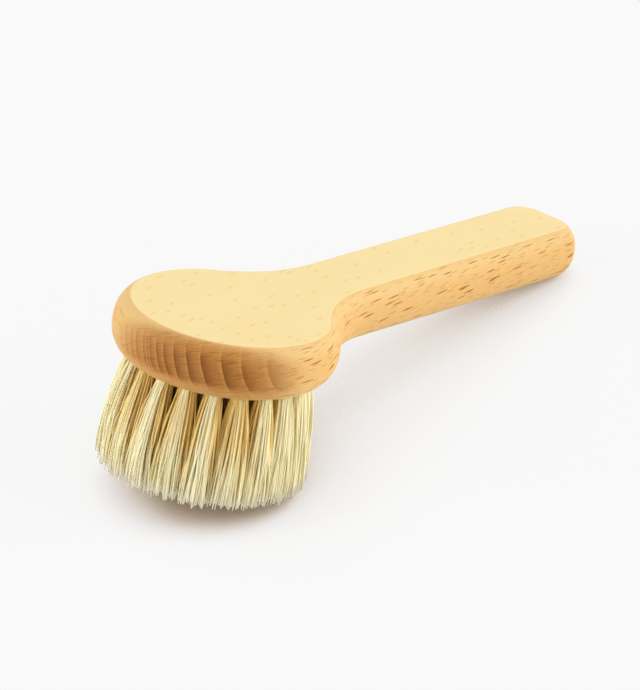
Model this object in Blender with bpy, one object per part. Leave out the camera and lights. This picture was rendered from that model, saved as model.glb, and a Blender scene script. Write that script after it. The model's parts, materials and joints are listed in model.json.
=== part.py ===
"""A small hand brush for cleaning mushrooms.

The body is one piece of beech: a round head that runs through a waisted neck into a flat
handle. Blind holes are drilled in the head's underside, in rings. In each hole sits a tuft
of bristle, folded over a short flat-wire anchor that was driven in with it and bites into
the wall of the hole. The tufts fan out a little and are trimmed flat.

Body frame: the origin is the centre of the head on its flat top face, +X runs along the
handle, +Z points up out of the top face. The whole brush hangs on an empty that tips it into
its rest pose, on the bristle tips and the end of the handle, with the floor at Z = 0 and the
origin under the centre of its box.
"""

import math

import bmesh
import bpy
from mathutils import Matrix, Vector

MM = 0.001

# Clearances
seat_gap = 0.3 * MM
overrun = 1.0 * MM

# Plan of the wood
overall_length = 130.0 * MM
head_radius = 22.5 * MM
handle_half_width_at_head = 9.95 * MM
handle_half_width_at_end = 9.5 * MM
neck_radius = 28.3 * MM
end_corner_radius = 6.8 * MM

# Thickness of the wood and its rounded edges. The top's round starts at an angle.
head_thickness = 11.6 * MM
neck_thickness = 10.9 * MM
end_thickness = 11.3 * MM
top_round_height = 5.7 * MM
top_round_width = 4.7 * MM
top_round_start = math.radians(25)
bottom_round_height = 5.7 * MM
bottom_round_width = 4.7 * MM

# The thinning towards the neck starts and ends at these shares of the head's radius
neck_start_share = 0.87
neck_end_share = 1.45

# Holes for the tufts
hole_radius = 1.8 * MM
hole_depth = 8.0 * MM
drill_point_slope_share = 0.6
rim_to_outer_ring = 6.1 * MM
hole_field_offset = 0.8 * MM

# Rings of tufts from the centre out: tufts, strands in the core, strands round the rim
rings = (
    ("centre", 1, 1, 6),
    ("inner", 6, 1, 6),
    ("middle", 12, 1, 6),
    ("outer", 20, 3, 8),
)

# Bristle
bristle_length = 21.2 * MM
rim_to_tip_circle = 1.7 * MM
tip_field_offset = 1.5 * MM
tip_fill_share = 0.86
splay_at_middle_share = 0.6
core_strand_place_share = 0.26
rim_strand_place_share = 0.72
strand_root_radius = 0.28 * MM
strand_middle_radius = 0.50 * MM
strand_tip_radius = 0.40 * MM
floor_cut = 0.5 * MM

# Flat-wire anchors
anchor_thickness = 0.4 * MM
anchor_height = 1.8 * MM
anchor_bite = 0.2 * MM
anchor_corner = 0.5 * MM
fold_thickness = 1.0 * MM

# Facets
head_steps = 24
neck_steps = 8
corner_steps = 6
edge_steps = 5
hole_sides = 12
tuft_sides = 8
strand_sides = 3

# Values that follow from the sizes above
handle_end_x = overall_length - head_radius
top_round_depth = top_round_height * math.cos(top_round_start)
round_limit = min(1.0, head_thickness / (top_round_depth + bottom_round_height))
top_drop = top_round_height * round_limit
bottom_rise = bottom_round_height * round_limit
top_inset = min(top_round_width, end_corner_radius)
bottom_inset = min(bottom_round_width, end_corner_radius)
ring_total = len(rings) - 1
outer_ring_radius = head_radius - rim_to_outer_ring
tip_circle_radius = head_radius - rim_to_tip_circle
tuft_radius = hole_radius - seat_gap
tuft_depth = hole_depth - seat_gap
anchor_half_length = hole_radius + anchor_bite
anchor_deep_edge = tuft_depth - fold_thickness - seat_gap
anchor_middle = anchor_deep_edge - anchor_height / 2
trim_z = -head_thickness - bristle_length


def clear_scene():
    for old in list(bpy.data.objects):
        bpy.data.objects.remove(old, do_unlink=True)


def material(name, colour, roughness, metallic):
    made = bpy.data.materials.new(name)
    made.use_nodes = True
    shader = made.node_tree.nodes["Principled BSDF"]
    shader.inputs["Base Color"].default_value = (*colour, 1.0)
    shader.inputs["Roughness"].default_value = roughness
    shader.inputs["Metallic"].default_value = metallic
    made.diffuse_color = (*colour, 1.0)
    return made


def add_object(name, bm, parent, look=None, place=Matrix()):
    """Turn a bmesh into a named object, placed in its parent's frame."""
    bmesh.ops.recalc_face_normals(bm, faces=bm.faces)
    mesh = bpy.data.meshes.new(name)
    bm.to_mesh(mesh)
    bm.free()
    if look:
        mesh.materials.append(look)
    made = bpy.data.objects.new(name, mesh)
    made.parent = parent
    made.matrix_basis = place
    bpy.context.scene.collection.objects.link(made)
    return made


def boolean(target, tool, operation):
    """Cut a tool out of a target, or join it on. The tool itself is only a guide."""
    tool.hide_render = True
    tool.display_type = "WIRE"
    step = target.modifiers.new(tool.name, "BOOLEAN")
    step.operation = operation
    step.use_self = True
    step.object = tool


def arc(centre, radius, start, stop, steps):
    angles = [start + (stop - start) * i / steps for i in range(steps + 1)]
    return [centre + radius * Vector((math.cos(a), math.sin(a))) for a in angles]


def half_outline(inset):
    """Plan of the wood on its +Y side, from the head's far pole to the end's straight edge.

    The head's circle meets the handle's side line through a hollow arc that is tangent to
    both. The inset moves the whole line inwards, for the rounded edges.
    """
    side_start = Vector((0, handle_half_width_at_head))
    side_end = Vector((handle_end_x, handle_half_width_at_end))
    along = (side_end - side_start).normalized()
    outward = Vector((-along.y, along.x))
    taper = math.atan2(along.y, along.x)

    # Centre of the neck's hollow arc: one neck radius outside the side line, and one head
    # radius plus one neck radius from the head's centre.
    offset_start = side_start + neck_radius * outward
    lead = offset_start.dot(along)
    reach = (head_radius + neck_radius) ** 2 - offset_start.length_squared + lead**2
    neck = offset_start + (math.sqrt(reach) - lead) * along
    neck_angle = math.atan2(neck.y, neck.x)

    corner_x = handle_end_x - end_corner_radius
    corner_drop = (end_corner_radius + outward.x * corner_x) / outward.y
    corner = Vector((corner_x, handle_half_width_at_head - corner_drop))

    quarter = math.pi / 2
    origin = Vector((0, 0))
    points = arc(origin, head_radius - inset, math.pi, neck_angle, head_steps)
    points += arc(neck, neck_radius + inset, neck_angle - math.pi, taper - quarter, neck_steps)[1:]
    points += arc(corner, end_corner_radius - inset, quarter + taper, 0, corner_steps)
    return points


def thickness_share(x):
    """Local thickness of the wood as a share of the head's thickness."""
    start = neck_start_share * head_radius
    stop = neck_end_share * head_radius
    blend = min(max((x - start) / (stop - start), 0), 1)
    blend = blend * blend * (3 - 2 * blend)
    run = min(max((x - start) / (handle_end_x - start), 0), 1)
    handle = neck_thickness + (end_thickness - neck_thickness) * run
    return 1 + blend * (handle / head_thickness - 1)


def edge_levels():
    """Inset and height of each outline, from the top face down to the underside.

    The flat top ends in a crisp line, because the first part of its round is left out.
    """
    start = top_round_start
    steep = [start + (math.pi / 2 - start) * i / edge_steps for i in range(edge_steps + 1)]
    top = [
        (top_inset * (1 - math.sin(a)), -top_drop * (math.cos(start) - math.cos(a)))
        for a in steep
    ]
    angles = [math.pi / 2 * i / edge_steps for i in range(edge_steps + 1)]
    bottom = [
        (bottom_inset * (1 - math.sin(a)), -head_thickness + bottom_rise * (1 - math.cos(a)))
        for a in reversed(angles)
    ]
    return top + bottom


def wood_point(xy, z, side):
    return Vector((xy.x, side * xy.y, z * thickness_share(xy.x)))


def make_wood(parent, look):
    """Head and handle in one piece: a stack of outlines, closed by two caps of strips."""
    bm = bmesh.new()
    stack = []
    for inset, z in edge_levels():
        half = half_outline(inset)
        near = [bm.verts.new(wood_point(p, z, 1)) for p in half]
        far = [bm.verts.new(wood_point(p, z, -1)) for p in half[1:]]
        stack.append((near, [near[0], *far]))
    for (near_a, far_a), (near_b, far_b) in zip(stack, stack[1:]):
        for i in range(len(near_a) - 1):
            bm.faces.new((near_a[i], near_a[i + 1], near_b[i + 1], near_b[i]))
            bm.faces.new((far_a[i + 1], far_a[i], far_b[i], far_b[i + 1]))
        bm.faces.new((near_a[-1], far_a[-1], far_b[-1], near_b[-1]))
    for near, far in (stack[0], stack[-1]):
        for i in range(len(near) - 1):
            strip = dict.fromkeys((near[i], near[i + 1], far[i + 1], far[i]))
            bm.faces.new(tuple(strip))
    wood = add_object("wood_body", bm, parent, look)
    wood.data.shade_smooth()
    wood.data.set_sharp_from_angle(angle=math.radians(30))
    return wood


def tuft_places():
    """Name, frame, length, tip spread and strand counts of each tuft.

    The frame has its origin at the mouth of the hole, +Z into the wood along the hole, and
    +X away from the middle of the brush.
    """
    places = []
    tip_spacing = tip_circle_radius / (ring_total + 0.5)
    for order, (ring, tufts, core, rim) in enumerate(rings):
        mouth_radius = outer_ring_radius * order / ring_total
        tip_radius = tip_spacing * order
        for i in range(tufts):
            angle = 2 * math.pi * i / tufts
            out = Vector((math.cos(angle), math.sin(angle), 0))
            mouth = mouth_radius * out + Vector((-hole_field_offset, 0, -head_thickness))
            tip = tip_radius * out + Vector((-tip_field_offset, 0, trim_z))
            up = (mouth - tip).normalized()
            across = up.cross(out).normalized()
            away = across.cross(up)
            frame = Matrix.Translation(mouth) @ Matrix((away, across, up)).transposed().to_4x4()
            radial_spread = tip_fill_share * tip_spacing / 2
            around_spread = tip_fill_share * math.pi * tip_radius / tufts or radial_spread
            places.append(
                {
                    "name": f"{ring}_{i + 1:02d}" if tufts > 1 else ring,
                    "ring": ring,
                    "frame": frame,
                    "length": (mouth - tip).length,
                    "spread": (radial_spread, around_spread),
                    "strands": (core, rim),
                }
            )
    return places


def rest_pitch():
    """Angle of the handle when the brush stands on its bristle tips and the handle's end.

    The floor is the lowest line that touches the trimmed tips on the handle's side, less the
    flat that is cut there, and the rounded lower edge of the handle's end.
    """
    tip_x = tip_circle_radius - tip_field_offset
    tip_z = trim_z + floor_cut
    slopes = []
    for inset, z in edge_levels():
        x = handle_end_x - inset
        slopes.append(math.atan2(z * thickness_share(x) - tip_z, x - tip_x))
    return min(slopes)


def drop_to_tip(point, direction, pitch):
    """Run a point on along a strand to the trimmed face, or to the floor if that is nearer."""
    floor_normal = Vector((-math.sin(pitch), 0, math.cos(pitch)))
    touch = Vector((tip_circle_radius - tip_field_offset, 0, trim_z + floor_cut))
    to_trim = (trim_z - point.z) / direction.z
    to_floor = (touch - point).dot(floor_normal) / direction.dot(floor_normal)
    return point + min(to_trim, to_floor) * direction


def strand_centres(place):
    """Places of the strands of a tuft at its root, in a core and a rim."""
    centres = []
    counts = zip(place["strands"], (core_strand_place_share, rim_strand_place_share))
    for count, share in counts:
        radius = share * tuft_radius if count > 1 else 0
        for i in range(count):
            angle = 2 * math.pi * (i + 0.5) / count
            centres.append(Vector((radius * math.cos(angle), radius * math.sin(angle), 0)))
    return centres


def strand_ring(centre, place, run_share, splay_share, radius):
    """Corners of a strand at a share of its length, in the tuft's frame.

    Every strand of a tuft splays by the same factors, so none crosses another. One flat side
    faces away from the tuft's axis, towards the next tuft.
    """
    rim = rim_strand_place_share * tuft_radius
    grow_x, grow_y = (1 + splay_share * (spread / rim - 1) for spread in place["spread"])
    middle = Vector((centre.x * grow_x, centre.y * grow_y, -run_share * place["length"]))
    inward = math.atan2(-centre.y, -centre.x)
    corners = []
    for i in range(strand_sides):
        angle = inward + 2 * math.pi * i / strand_sides
        corners.append(middle + radius * Vector((math.cos(angle), math.sin(angle), 0)))
    return corners


def add_strand(bm, centre, place, pitch):
    """One strand: from its root loop through a bend at the middle to its cut tip."""
    middle_splay = splay_at_middle_share
    root = strand_ring(centre, place, 0, 0, strand_root_radius)
    middle = strand_ring(centre, place, 0.5, middle_splay, strand_middle_radius)
    tip = strand_ring(centre, place, 1, 1, strand_tip_radius)
    frame = place["frame"]
    back = frame.inverted()
    cut = []
    for a, b in zip(middle, tip):
        start = frame @ a
        heading = (frame @ b - start).normalized()
        cut.append(back @ drop_to_tip(start, heading, pitch))
    loops = [[bm.verts.new(p) for p in ring] for ring in (root, middle, cut)]
    for upper, lower in zip(loops, loops[1:]):
        for i in range(strand_sides):
            j = (i + 1) % strand_sides
            bm.faces.new((upper[i], upper[j], lower[j], lower[i]))
    bm.faces.new(loops[-1])
    return loops[0]


def loop_edges(bm, loop):
    pairs = zip(loop, loop[1:] + loop[:1])
    return [bm.edges.get(pair) or bm.edges.new(pair) for pair in pairs]


def make_tuft(place, pitch, parent, look):
    """A round root that fills the hole, with the free strands growing out of its face."""
    bm = bmesh.new()
    angles = [2 * math.pi * i / tuft_sides for i in range(tuft_sides)]
    rim = [Vector((tuft_radius * math.cos(a), tuft_radius * math.sin(a), 0)) for a in angles]
    mouth = [bm.verts.new(p) for p in rim]
    fold = [bm.verts.new(p + Vector((0, 0, tuft_depth))) for p in rim]
    for i in range(tuft_sides):
        j = (i + 1) % tuft_sides
        bm.faces.new((mouth[i], mouth[j], fold[j], fold[i]))
    bm.faces.new(fold)
    edges = loop_edges(bm, mouth)
    for centre in strand_centres(place):
        edges += loop_edges(bm, add_strand(bm, centre, place, pitch))
    bmesh.ops.triangle_fill(bm, edges=edges, use_beauty=True, normal=(0, 0, -1))
    return add_object(f"tuft_{place['name']}", bm, parent, look, place["frame"])


def box(length, width, height, z):
    """A box centred on the hole's axis at a depth, long side towards the rim of the head."""
    bm = bmesh.new()
    size = Matrix.Diagonal((length, width, height, 1))
    bmesh.ops.create_cube(bm, size=1, matrix=Matrix.Translation((0, 0, z)) @ size)
    return bm


def anchor_bmesh():
    """A short piece of flat wire on edge, its two leading corners cut off."""
    deep = anchor_deep_edge
    shallow = deep - anchor_height
    profile = [
        (-anchor_half_length, shallow),
        (anchor_half_length, shallow),
        (anchor_half_length, deep - anchor_corner),
        (anchor_half_length - anchor_corner, deep),
        (-anchor_half_length + anchor_corner, deep),
        (-anchor_half_length, deep - anchor_corner),
    ]
    bm = bmesh.new()
    face = bm.faces.new([bm.verts.new((x, -anchor_thickness / 2, z)) for x, z in profile])
    grown = bmesh.ops.extrude_face_region(bm, geom=[face])
    moved = [v for v in grown["geom"] if isinstance(v, bmesh.types.BMVert)]
    bmesh.ops.translate(bm, verts=moved, vec=(0, anchor_thickness, 0))
    return bm


def hole_bmesh():
    """A drilled hole with its conical end, open past the mouth."""
    start = -overrun - bottom_rise
    bm = bmesh.new()
    angles = [2 * math.pi * i / hole_sides for i in range(hole_sides)]
    circle = [Vector((hole_radius * math.cos(a), hole_radius * math.sin(a), 0)) for a in angles]
    low = [bm.verts.new(p + Vector((0, 0, start))) for p in circle]
    high = [bm.verts.new(p + Vector((0, 0, hole_depth))) for p in circle]
    point = bm.verts.new((0, 0, hole_depth + drill_point_slope_share * hole_radius))
    bm.faces.new(low)
    for i in range(hole_sides):
        j = (i + 1) % hole_sides
        bm.faces.new((low[i], low[j], high[j], high[i]))
        bm.faces.new((high[i], high[j], point))
    return bm


def slot_bmesh():
    """The room that the two ends of an anchor have bitten into the wall of the hole."""
    length = 2 * (anchor_half_length + seat_gap)
    return box(length, anchor_thickness + 2 * seat_gap, anchor_height + 2 * seat_gap, anchor_middle)


def window_bmesh():
    """The space inside a folded tuft where its anchor crosses."""
    length = 2 * (tuft_radius + overrun)
    return box(length, anchor_thickness + 2 * seat_gap, anchor_height + 2 * seat_gap, anchor_middle)


def scattered(shape, places):
    """One bmesh with a copy of a shape at each place."""
    whole = bmesh.new()
    for place in places:
        one = shape()
        one.transform(place["frame"])
        copy = bpy.data.meshes.new("copy")
        one.to_mesh(copy)
        one.free()
        whole.from_mesh(copy)
        bpy.data.meshes.remove(copy)
    return whole


def seat_on_floor(rest, pitch):
    """Tip the brush into its rest pose and centre its box over the origin, on the floor."""
    tilt = Matrix.Rotation(pitch, 4, "Y")
    points = []
    for child in rest.children:
        if not child.hide_render:
            points += [tilt @ child.matrix_basis @ v.co for v in child.data.vertices]
    low = Vector(min(p[axis] for p in points) for axis in range(3))
    high = Vector(max(p[axis] for p in points) for axis in range(3))
    middle = (low + high) / 2
    rest.matrix_world = Matrix.Translation((-middle.x, -middle.y, -low.z)) @ tilt


def build():
    clear_scene()
    beech = material("oiled_beech", (0.83, 0.56, 0.24), 0.5, 0.0)
    bristle = material("pale_bristle", (0.76, 0.62, 0.31), 0.55, 0.0)
    steel = material("steel_wire", (0.56, 0.56, 0.54), 0.35, 1.0)

    rest = bpy.data.objects.new("rest_pose", None)
    bpy.context.scene.collection.objects.link(rest)
    pitch = rest_pitch()
    places = tuft_places()

    wood = make_wood(rest, beech)
    boolean(wood, add_object("hole_cutters", scattered(hole_bmesh, places), rest), "DIFFERENCE")
    boolean(wood, add_object("slot_cutters", scattered(slot_bmesh, places), rest), "DIFFERENCE")

    # The tufts of the outer ring are folded over anchors of their own. In the rings inside,
    # each anchor is joined to its tuft.
    for place in places:
        tuft = make_tuft(place, pitch, rest, bristle)
        frame = place["frame"]
        if place["ring"] == "outer":
            window = add_object(f"window_{place['name']}", window_bmesh(), rest, None, frame)
            boolean(tuft, window, "DIFFERENCE")
            add_object(f"anchor_{place['name']}", anchor_bmesh(), rest, steel, frame)
        else:
            anchor = add_object(f"wire_{place['name']}", anchor_bmesh(), rest, None, frame)
            boolean(tuft, anchor, "UNION")

    seat_on_floor(rest, pitch)


build()
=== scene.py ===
# %% [markdown]
# # A mushroom brush, dressed
#
# The brush is one sawn and sanded piece of beech with tufts of pale bristle driven into its
# head. This lesson loads the plain solids as a fixed frame, and builds the surfaces that the
# eye sees around them: the wood with its rounded edges and grain, about five thousand single
# bristles, and the small flat wires that hold each tuft in its hole.

# %% Load the frame
import math

import bpy
import numpy as np
from mathutils import Matrix, Vector
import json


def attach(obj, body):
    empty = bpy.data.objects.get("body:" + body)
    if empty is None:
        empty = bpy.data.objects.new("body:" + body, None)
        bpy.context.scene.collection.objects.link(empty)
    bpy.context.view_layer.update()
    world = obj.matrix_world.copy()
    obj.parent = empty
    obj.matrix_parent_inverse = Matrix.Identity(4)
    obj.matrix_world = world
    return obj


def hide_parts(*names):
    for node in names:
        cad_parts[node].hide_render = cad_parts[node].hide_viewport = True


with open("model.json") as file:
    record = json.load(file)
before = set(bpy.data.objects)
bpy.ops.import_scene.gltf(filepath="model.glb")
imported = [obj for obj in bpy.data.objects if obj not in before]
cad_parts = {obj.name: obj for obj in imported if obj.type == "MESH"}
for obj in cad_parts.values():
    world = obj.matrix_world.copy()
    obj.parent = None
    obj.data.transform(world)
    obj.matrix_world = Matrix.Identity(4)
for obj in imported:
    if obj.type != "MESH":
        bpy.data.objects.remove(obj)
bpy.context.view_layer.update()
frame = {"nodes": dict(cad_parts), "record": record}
scene = bpy.context.scene
MM = 0.001
rng = np.random.default_rng(7)

# %% [markdown]
# ## The brush's own frame
#
# The brush rests on its bristle tips and the end of its handle, so it lies tilted. It is far
# easier to describe lying flat: the origin in the middle of the head's top face, +X along
# the handle and +Z out of the top face. The record's one mount is that very face. Its point
# and its axis give the turn from the brush's own frame to the room, so nothing is measured
# twice.

# %% The turn from the brush's frame to the room
face = frame["record"]["mounts"][0]
face_axis = np.array(face["axis"]) / np.linalg.norm(face["axis"])
face_point = np.array(face["pos_m"])
pitch = math.atan2(face_axis[0], face_axis[2])
turn = np.array([[face_axis[2], 0, face_axis[0]], [0, 1, 0], [-face_axis[0], 0, face_axis[2]]])


def to_room(points):
    """Points in millimetres in the brush's frame, turned and moved into the room in metres."""
    return np.asarray(points) * MM @ turn.T + face_point


print("pitch of the brush at rest:", round(math.degrees(pitch), 2), "degrees")

# %% [markdown]
# ## The camera
#
# The photograph was taken from far away with a long lens: the handle's two edges stay nearly
# parallel. The camera therefore stands more than a metre off and looks down on the brush
# from over the head's free side. It could be aimed with a constraint, but its place and its
# right and up directions, written in the brush's own frame, say the same with no rig.

# %% Camera
PHOTO_WIDTH, PHOTO_HEIGHT = 640, 690
SENSOR = 36.0
FOCAL_PIXELS = 6306.7
CAMERA_PLACE = (-929.44, -674.74, 434.48)
CAMERA_RIGHT = np.array([0.61637474, -0.77068916, 0.16161808])
CAMERA_UP = np.array([0.18843995, 0.34363856, 0.92000159])
RIGHT_OF_VIEW = (0.575, -0.818)


def add_camera():
    """A camera whose picture is as high as its sensor, placed by its own three axes."""
    made = bpy.data.objects.new("camera", bpy.data.cameras.new("camera"))
    made.data.sensor_width = SENSOR
    made.data.lens = FOCAL_PIXELS / max(PHOTO_WIDTH, PHOTO_HEIGHT) * SENSOR
    axes = np.stack([CAMERA_RIGHT, CAMERA_UP, np.cross(CAMERA_RIGHT, CAMERA_UP)])
    place = np.eye(4)
    place[:3, :3] = turn @ axes.T
    place[:3, 3] = to_room(CAMERA_PLACE)
    made.matrix_world = Matrix(place)
    scene.collection.objects.link(made)
    scene.camera = made
    return made


camera = add_camera()
print("lens:", round(camera.data.lens, 1), "mm, from", round(camera.location.length, 2), "m away")

# %% [markdown]
# ## Plan of the wood
#
# Seen from above, the wood is a disc that runs into a slightly tapered handle through two
# hollow curves. Each hollow curve touches the disc and the handle's side without a corner,
# because its circle lies one neck radius away from both. A bandsaw and a spindle moulder
# leave just such a line of arcs and straights, so arcs are worked out here too, and not a
# freehand curve. Moved inwards by an inset, the same arcs give the plan further up or down
# the rounded edge.

# %% Sizes of the wood, in millimetres
HEAD_RADIUS = 22.5
HANDLE_END = 107.5
HALF_WIDTH_AT_HEAD, HALF_WIDTH_AT_END = 9.95, 9.5
NECK_RADIUS = 28.3
CORNER_RADIUS = 6.8
HEAD_THICK, NECK_THICK, END_THICK = 11.6, 10.9, 11.3
TOP_ROUND = BOTTOM_ROUND = (4.7, 5.7)
TOP_ROUND_START = math.radians(25)
SANDED_RADIUS = 0.7
PLAN_STEPS = {"head": 96, "hollow": 36, "side": 42, "corner": 20, "end": 8}
THIN_FROM, THIN_TO = 0.87 * HEAD_RADIUS, 1.45 * HEAD_RADIUS


def arc(centre, radius, start, stop, steps):
    """Points at even angles on a circle: centre + radius * (cos a, sin a)."""
    a = np.linspace(start, stop, steps + 1)
    return np.stack([centre[0] + radius * np.cos(a), centre[1] + radius * np.sin(a)], -1)


def side_line():
    """Direction of the handle's straight side, its outward normal and its angle."""
    along = np.array([HANDLE_END, HALF_WIDTH_AT_END - HALF_WIDTH_AT_HEAD])
    along /= np.linalg.norm(along)
    return along, np.array([-along[1], along[0]]), math.atan2(along[1], along[0])


def half_plan(inset):
    """Plan of the wood on its +Y side, moved inwards by the inset.

    The neck's centre is where a line parallel to the side, one neck radius outside it, is
    head radius + neck radius from the origin: the root of a quadratic.
    """
    along, outward, taper = side_line()
    start = np.array([0, HALF_WIDTH_AT_HEAD]) + NECK_RADIUS * outward
    lead = start @ along
    reach = (HEAD_RADIUS + NECK_RADIUS) ** 2 - start @ start + lead**2
    neck = start + (math.sqrt(reach) - lead) * along
    neck_angle = math.atan2(neck[1], neck[0])
    corner_x = HANDLE_END - CORNER_RADIUS
    drop = (CORNER_RADIUS + outward[0] * corner_x) / outward[1]
    corner = np.array([corner_x, HALF_WIDTH_AT_HEAD - drop])
    quarter = math.pi / 2
    steps = PLAN_STEPS
    head = arc((0, 0), HEAD_RADIUS - inset, math.pi, neck_angle, steps["head"])
    hollow_stop = taper - quarter
    hollow = arc(neck, NECK_RADIUS + inset, neck_angle - math.pi, hollow_stop, steps["hollow"])
    tip = arc(corner, CORNER_RADIUS - inset, quarter + taper, 0, steps["corner"])
    side = np.linspace(hollow[-1], tip[0], steps["side"])[1:-1]
    end = np.linspace(tip[-1], (HANDLE_END - inset, 0), steps["end"])[1:]
    return np.vstack([head, hollow[1:], side, tip, end])


def plan(inset):
    """The whole closed plan: the +Y half, then its mirror image run backwards."""
    half = half_plan(inset)
    return np.vstack([half, half[-2:0:-1] * (1, -1)])


print("points round the plan:", len(plan(0)))

# %% [markdown]
# ## The wood as one surface
#
# The flat top ends in a crisp line that sandpaper has only just broken. Outside it the edge
# turns down at once, through most of a quarter ellipse, and a whole one leads to the flat
# underside. The wood is a little thinner at the neck. A surface of two parameters says all of
# that: u runs round the plan, and v runs down the edge. Strips between the plan's two mirrored
# halves close the two flats.

# %% The wood's surface
EDGE_STEPS, ARRIS_STEPS = 14, 4
FLAT_RIM = 0.6
SHARP_ANGLE = math.radians(35)


def thickness_share(x):
    """1 over the head, then a smooth step to the handle's own thickness."""
    t = np.clip((x - THIN_FROM) / (THIN_TO - THIN_FROM), 0, 1)
    run = np.clip((x - THIN_FROM) / (HANDLE_END - THIN_FROM), 0, 1)
    handle = NECK_THICK + (END_THICK - NECK_THICK) * run
    return 1 + t * t * (3 - 2 * t) * (handle / HEAD_THICK - 1)


def edge_profile(steps):
    """Inset and height down the edge: an arris, part of an ellipse, then a quarter ellipse.

    The ellipses are w(1 - sin a) by h(cos start - cos a). The arris is an arc that touches
    the flat top and the slope on which the upper ellipse starts.
    """
    (wide, high), (low_wide, low_high) = TOP_ROUND, BOTTOM_ROUND
    a = np.linspace(TOP_ROUND_START, math.pi / 2, steps + 1)
    top = np.stack([wide * (1 - np.sin(a)), high * (np.cos(a) - np.cos(a[0]))], -1)
    slope = math.atan2(high * math.sin(a[0]), wide * math.cos(a[0]))
    s = np.linspace(0, slope, ARRIS_STEPS + 1)
    middle = top[0, 0] + SANDED_RADIUS * math.tan(slope / 2)
    arris = np.stack([middle - SANDED_RADIUS * np.sin(s), SANDED_RADIUS * (np.cos(s) - 1)], -1)
    a = np.linspace(math.pi / 2, 0, steps + 1)
    low = np.stack([low_wide * (1 - np.sin(a)), low_high * (1 - np.cos(a)) - HEAD_THICK], -1)
    flat = np.array([(FLAT_RIM, 0)])
    return np.vstack([arris[:1] + flat, arris, top[1:], low, low[-1:] + flat])


def mesh_object(name, points, faces, sharp=SHARP_ANGLE):
    """A mesh object from points in the brush's frame, smooth except at sharp edges."""
    mesh = bpy.data.meshes.new(name)
    mesh.from_pydata(to_room(points).tolist(), [], faces)
    mesh.update()
    mesh.shade_smooth()
    mesh.set_sharp_from_angle(angle=sharp)
    made = bpy.data.objects.new(name, mesh)
    scene.collection.objects.link(made)
    return made


def wood_surface():
    """A stack of plans down the edge profile, joined by quads and closed by strips."""
    profile = edge_profile(EDGE_STEPS)
    rings = [np.column_stack([p := plan(i), z * thickness_share(p[:, 0])]) for i, z in profile]
    rows, count = len(rings), len(rings[0])
    points = np.vstack(rings)
    r, c = np.meshgrid(np.arange(rows - 1), np.arange(count), indexing="ij")
    step = (c + 1) % count
    low, high = r * count, (r + 1) * count
    quads = np.stack([low + c, low + step, high + step, high + c], -1).reshape(-1, 4)
    half = count // 2
    i = np.arange(1, half - 1)
    caps = np.stack([i, i + 1, count - i - 1, count - i], -1)
    ends = np.array([[0, 1, count - 1], [half - 1, half, half + 1]])
    base = (rows - 1) * count
    faces = quads.tolist() + caps[:, ::-1].tolist() + ends[:, ::-1].tolist()
    faces += (caps + base).tolist() + (ends + base).tolist()
    return mesh_object("beech_body", points, faces)


beech_body = wood_surface()
print("faces of the wood:", len(beech_body.data.polygons))

# %% [markdown]
# ## Where the tufts go
#
# The brushmaker drills the underside in rings: one hole in the middle, then 6, 12 and 20.
# The holes lean outwards a little, so that the bristles fan out. Each tuft has a mouth on
# the underside and a spot on the trimmed face that its tips fill. The mouths and the tips
# are circles of different size around slightly different centres. A table of measured places
# could hold them, but both follow from the ring's number, so a formula says it shorter.

# %% Places of the tufts, in millimetres
RINGS = (("centre", 1), ("inner", 6), ("middle", 12), ("outer", 20))
OUTER_RING, TIP_CIRCLE = 16.4, 20.8
MOUTH_SHIFT, TIP_SHIFT = -0.8, -1.5
BRISTLE_LENGTH = 21.2
TRIM_Z = -HEAD_THICK - BRISTLE_LENGTH


def tuft_places():
    """One row a tuft: its name, mouth, tip centre, outward direction and tip half widths.

    Ring k has its mouths at outer ring * k / 3. The tips fill rings of one width, of which
    the centre has half, so ring k has them at tip circle * k / 3.5.
    """
    rows = []
    ring_width = TIP_CIRCLE / (len(RINGS) - 0.5)
    for order, (ring, count) in enumerate(RINGS):
        a = 2 * math.pi * np.arange(count) / count
        out = np.stack([np.cos(a), np.sin(a), np.zeros(count)], -1)
        mouths = OUTER_RING * order / (len(RINGS) - 1) * out + (MOUTH_SHIFT, 0, -HEAD_THICK)
        tip_radius = ring_width * order
        tips = tip_radius * out + (TIP_SHIFT, 0, TRIM_Z)
        radial = ring_width / 2
        around = math.pi * tip_radius / count or radial
        for i in range(count):
            name = f"{ring}_{i + 1:02d}" if count > 1 else ring
            rows.append((name, mouths[i], tips[i], out[i], (radial, around)))
    return rows


def tuft_axes(mouth, tip, out):
    """Three axes of a hole: outwards, around the head, and up into the wood."""
    up = (mouth - tip) / np.linalg.norm(mouth - tip)
    across = np.cross(up, out)
    across /= np.linalg.norm(across)
    return np.stack([np.cross(across, up), across, up])


places = tuft_places()
print("tufts:", len(places))

# %% [markdown]
# ## Drilling the head
#
# Each hole is a short cylinder with the cone that a drill leaves at its end. The holes could
# be painted dark, but a real hole takes real light, and the mesh stays right when it leaves
# Blender. All the drills are one guide mesh, and a Boolean cuts them from the wood at once.
# The result is kept as a plain mesh, so that nothing is left to work out later.

# %% Drill the holes
HOLE_RADIUS, HOLE_DEPTH = 1.8, 8.0
DRILL_POINT = 0.6 * HOLE_RADIUS
DRILL_BELOW = 6.0


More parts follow.
